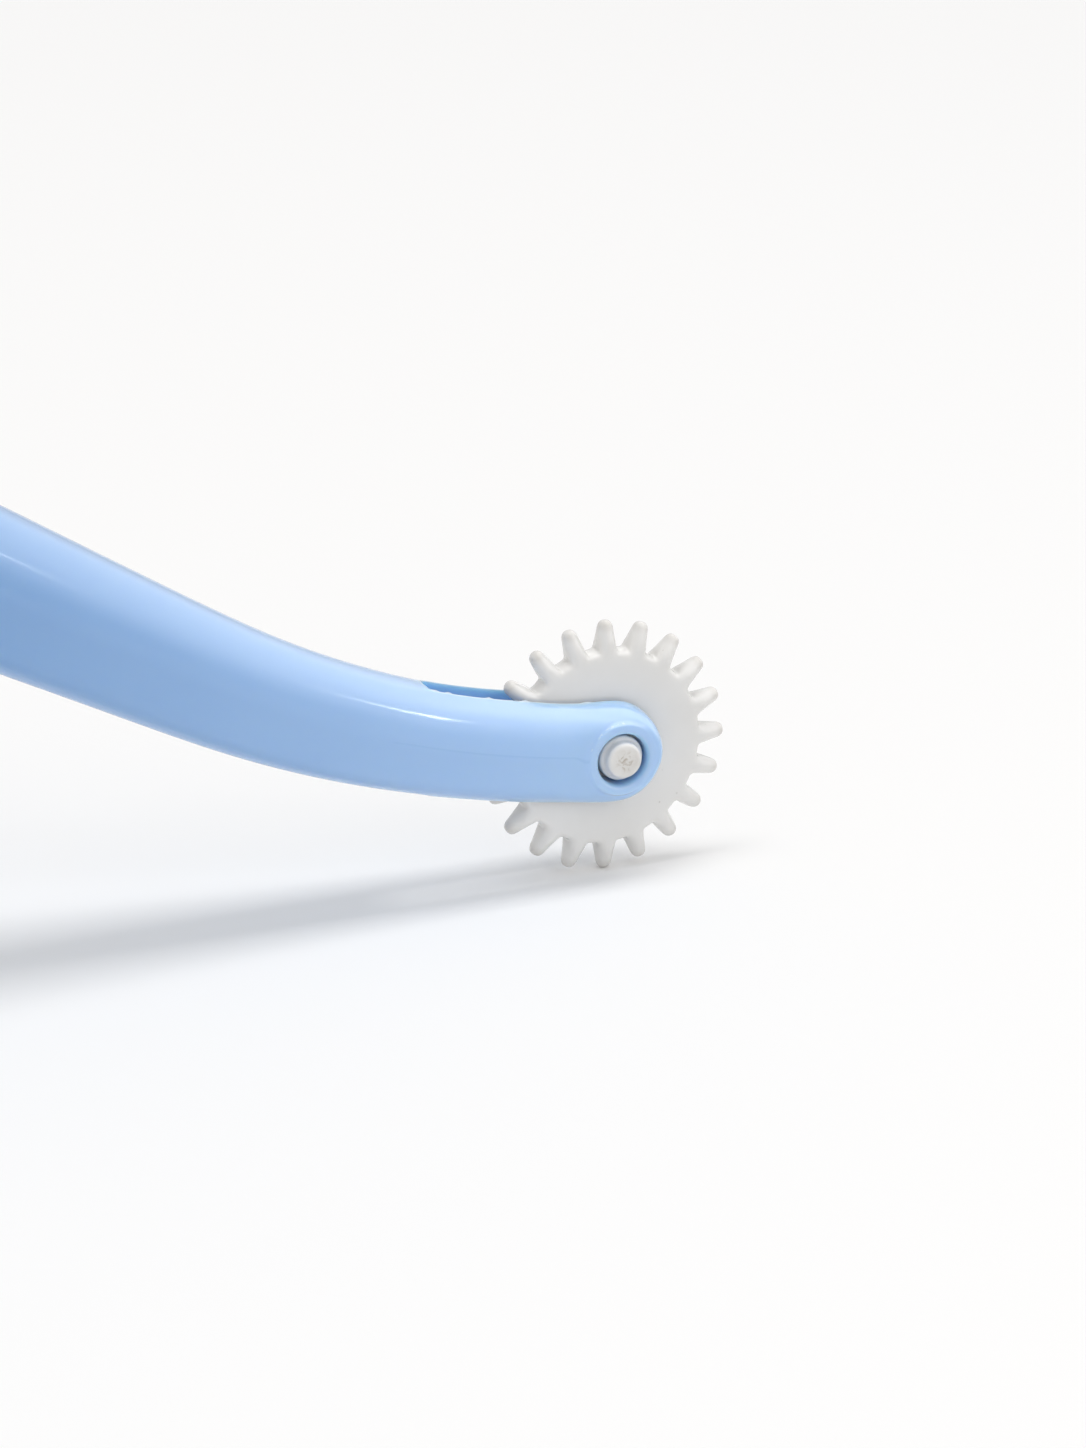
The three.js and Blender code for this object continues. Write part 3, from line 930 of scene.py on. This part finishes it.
# The ball tips turn tan in patches: partly tan wear, partly painted shade that dims the tips, which catch
# the most light.
wheel_tips = add_node(
    wheel_tree, "ShaderNodeMapRange", interpolation_type="SMOOTHSTEP",
    From_Min=11.3 * mm, From_Max=12.3 * mm,
)
wheel_tan_and_shade_mask = add_node(wheel_tree, "ShaderNodeMath", operation="MULTIPLY")
wheel_tan_and_shaded = add_node(wheel_tree, "ShaderNodeMix", data_type="RGBA", B=tip_tan_and_shade)
wheel_grit = add_node(wheel_tree, "ShaderNodeTexVoronoi", Scale=620.0)
wheel_bits = add_node(wheel_tree, "ShaderNodeMapRange", From_Min=0.085, From_Max=0.05)
wheel_few = add_node(wheel_tree, "ShaderNodeTexNoise", Scale=260.0, Detail=2.0)
wheel_some = add_node(wheel_tree, "ShaderNodeMapRange", From_Min=0.52, From_Max=0.58)
wheel_speck = add_node(wheel_tree, "ShaderNodeMath", operation="MULTIPLY")
wheel_specked = add_node(wheel_tree, "ShaderNodeMix", data_type="RGBA", B=speck_grey)
wheel_sheen = add_node(wheel_tree, "ShaderNodeMapRange", To_Min=0.10, To_Max=0.18)
wheel_peel = add_node(wheel_tree, "ShaderNodeTexNoise", Scale=900.0, Detail=2.0)
wheel_bump = add_node(wheel_tree, "ShaderNodeBump", Strength=0.10, Distance=0.03 * mm)
wheel_tree.links.new(wheel_place.outputs["Object"], wheel_cloud.inputs["Vector"])
wheel_tree.links.new(wheel_cloud.outputs["Fac"], wheel_shades.inputs["Fac"])
wheel_tree.links.new(wheel_place.outputs["Object"], wheel_centre.inputs["Vector"])
wheel_tree.links.new(wheel_centre.outputs["Vector"], wheel_far.inputs[0])
wheel_tree.links.new(wheel_far.outputs["Value"], wheel_tips.inputs["Value"])
wheel_tree.links.new(wheel_tips.outputs["Result"], wheel_tan_and_shade_mask.inputs[0])
wheel_tree.links.new(wheel_few.outputs["Fac"], wheel_tan_and_shade_mask.inputs[1])
wheel_tree.links.new(wheel_tan_and_shade_mask.outputs[0], wheel_tan_and_shaded.inputs["Factor"])
wheel_tree.links.new(wheel_shades.outputs["Color"], wheel_tan_and_shaded.inputs["A"])
wheel_tree.links.new(wheel_place.outputs["Object"], wheel_grit.inputs["Vector"])
wheel_tree.links.new(wheel_grit.outputs["Distance"], wheel_bits.inputs["Value"])
wheel_tree.links.new(wheel_place.outputs["Object"], wheel_few.inputs["Vector"])
wheel_tree.links.new(wheel_few.outputs["Fac"], wheel_some.inputs["Value"])
wheel_tree.links.new(wheel_bits.outputs["Result"], wheel_speck.inputs[0])
wheel_tree.links.new(wheel_some.outputs["Result"], wheel_speck.inputs[1])
wheel_tree.links.new(wheel_speck.outputs[0], wheel_specked.inputs["Factor"])
wheel_tree.links.new(wheel_tan_and_shaded.outputs["Result"], wheel_specked.inputs["A"])
wheel_tree.links.new(wheel_specked.outputs["Result"], wheel_shader.inputs["Base Color"])
wheel_tree.links.new(wheel_cloud.outputs["Fac"], wheel_sheen.inputs["Value"])
wheel_tree.links.new(wheel_sheen.outputs["Result"], wheel_shader.inputs["Roughness"])
wheel_tree.links.new(wheel_place.outputs["Object"], wheel_peel.inputs["Vector"])
wheel_tree.links.new(wheel_peel.outputs["Fac"], wheel_bump.inputs["Height"])
wheel_tree.links.new(wheel_bump.outputs["Normal"], wheel_shader.inputs["Normal"])
wheel.data.materials.append(wheel_plastic)
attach(wheel, "wheel")
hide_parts("wheel")

# Pin: a stepped off-white pin, pushed through the near hole and pressed into the wheel's bore.
# Its rounded nose, shoulder and shank are drawn out from a small disc at the end, then mirrored.
pin_corners = 24
pin_disc = (0.38 * mm, 5.14 * mm)
pin_steps = (
    (0.62 * mm, 5.17 * mm),
    (1.26 * mm, 5.20 * mm),
    (1.58 * mm, 5.13 * mm),
    (1.75 * mm, 4.90 * mm),
    (1.77 * mm, 4.60 * mm),
    (1.79 * mm, 4.36 * mm),
    (1.92 * mm, 4.19 * mm),
    (2.11 * mm, 4.12 * mm),
    (2.22 * mm, 3.98 * mm),
    (2.23 * mm, 3.70 * mm),
    (2.16 * mm, 2.70 * mm),
    (2.15 * mm, 0),
)
bpy.ops.object.select_all(action="DESELECT")
bpy.ops.mesh.primitive_circle_add(
    vertices=pin_corners,
    radius=pin_disc[0],
    fill_type="NGON",
    location=axle,
    rotation=(math.radians(90), 0, 0),
)
pin = bpy.context.object
pin.name = "stepped_pin"
bpy.ops.object.transform_apply(location=True, rotation=True, scale=True)
bpy.ops.object.mode_set(mode="EDIT")
bpy.ops.mesh.select_mode(type="EDGE")
bpy.ops.mesh.select_all(action="SELECT")
lay_round_row(*pin_disc)
pick_edges(lambda edge: edge.is_boundary)
for radius, depth in pin_steps:
    bpy.ops.mesh.extrude_edges_move()
    lay_round_row(radius, depth)
bpy.ops.object.mode_set(mode="OBJECT")
mirror_half(pin)
round_off(pin)
bpy.ops.object.shade_smooth()

pin_dim = (0.715, 0.700, 0.672, 1)
pin_light = (0.800, 0.790, 0.775, 1)
gate_brown = (0.500, 0.450, 0.390, 1)
pin_plastic, pin_tree, pin_shader = new_material("pin_plastic_dull")
pin_shader.inputs["Roughness"].default_value = 0.32
pin_shader.inputs["Subsurface Weight"].default_value = 0.4
pin_shader.inputs["Subsurface Radius"].default_value = (1.0, 1.0, 1.0)
pin_shader.inputs["Subsurface Scale"].default_value = 1.0 * mm
pin_place = add_node(pin_tree, "ShaderNodeTexCoord")
pin_cloud = add_node(pin_tree, "ShaderNodeTexNoise", Scale=500.0, Detail=3.0)
pin_shades = add_node(pin_tree, "ShaderNodeValToRGB")
pin_shades.color_ramp.elements[0].position = 0.3
pin_shades.color_ramp.elements[0].color = pin_dim
pin_shades.color_ramp.elements[1].position = 0.7
pin_shades.color_ramp.elements[1].color = pin_light
pin_centre = add_node(pin_tree, "ShaderNodeMapping", Location=-axle)
pin_axes = add_node(pin_tree, "ShaderNodeSeparateXYZ")
pin_flat = add_node(pin_tree, "ShaderNodeCombineXYZ")
pin_far = add_node(pin_tree, "ShaderNodeVectorMath", operation="LENGTH")
pin_middle = add_node(
    pin_tree, "ShaderNodeMapRange", interpolation_type="SMOOTHSTEP",
    From_Min=1.35 * mm, From_Max=0.35 * mm,
)
pin_scuff = add_node(pin_tree, "ShaderNodeTexNoise", Scale=1700.0, Detail=4.0, Distortion=1.5)
pin_patch = add_node(pin_tree, "ShaderNodeMapRange", From_Min=0.47, From_Max=0.66)
pin_smudge = add_node(pin_tree, "ShaderNodeMath", operation="MULTIPLY")
pin_gate = add_node(pin_tree, "ShaderNodeMix", data_type="RGBA", B=gate_brown)
pin_bump = add_node(pin_tree, "ShaderNodeBump", Strength=0.25, Distance=0.04 * mm)
pin_tree.links.new(pin_place.outputs["Object"], pin_cloud.inputs["Vector"])
pin_tree.links.new(pin_cloud.outputs["Fac"], pin_shades.inputs["Fac"])
pin_tree.links.new(pin_place.outputs["Object"], pin_centre.inputs["Vector"])
pin_tree.links.new(pin_centre.outputs["Vector"], pin_axes.inputs["Vector"])
pin_tree.links.new(pin_axes.outputs["X"], pin_flat.inputs["X"])
pin_tree.links.new(pin_axes.outputs["Z"], pin_flat.inputs["Z"])
pin_tree.links.new(pin_flat.outputs["Vector"], pin_far.inputs[0])
pin_tree.links.new(pin_far.outputs["Value"], pin_middle.inputs["Value"])
pin_tree.links.new(pin_place.outputs["Object"], pin_scuff.inputs["Vector"])
pin_tree.links.new(pin_scuff.outputs["Fac"], pin_patch.inputs["Value"])
pin_tree.links.new(pin_middle.outputs["Result"], pin_smudge.inputs[0])
pin_tree.links.new(pin_patch.outputs["Result"], pin_smudge.inputs[1])
pin_tree.links.new(pin_smudge.outputs[0], pin_gate.inputs["Factor"])
pin_tree.links.new(pin_shades.outputs["Color"], pin_gate.inputs["A"])
pin_tree.links.new(pin_gate.outputs["Result"], pin_shader.inputs["Base Color"])
pin_tree.links.new(pin_scuff.outputs["Fac"], pin_bump.inputs["Height"])
pin_tree.links.new(pin_bump.outputs["Normal"], pin_shader.inputs["Normal"])
pin.data.materials.append(pin_plastic)
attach(pin, "wheel")
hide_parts("axle_pin")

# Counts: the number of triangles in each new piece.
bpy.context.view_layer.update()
for piece in (handle, wheel, pin):
    print(piece.name, sum(len(face.vertices) - 2 for face in piece.data.polygons), "triangles")
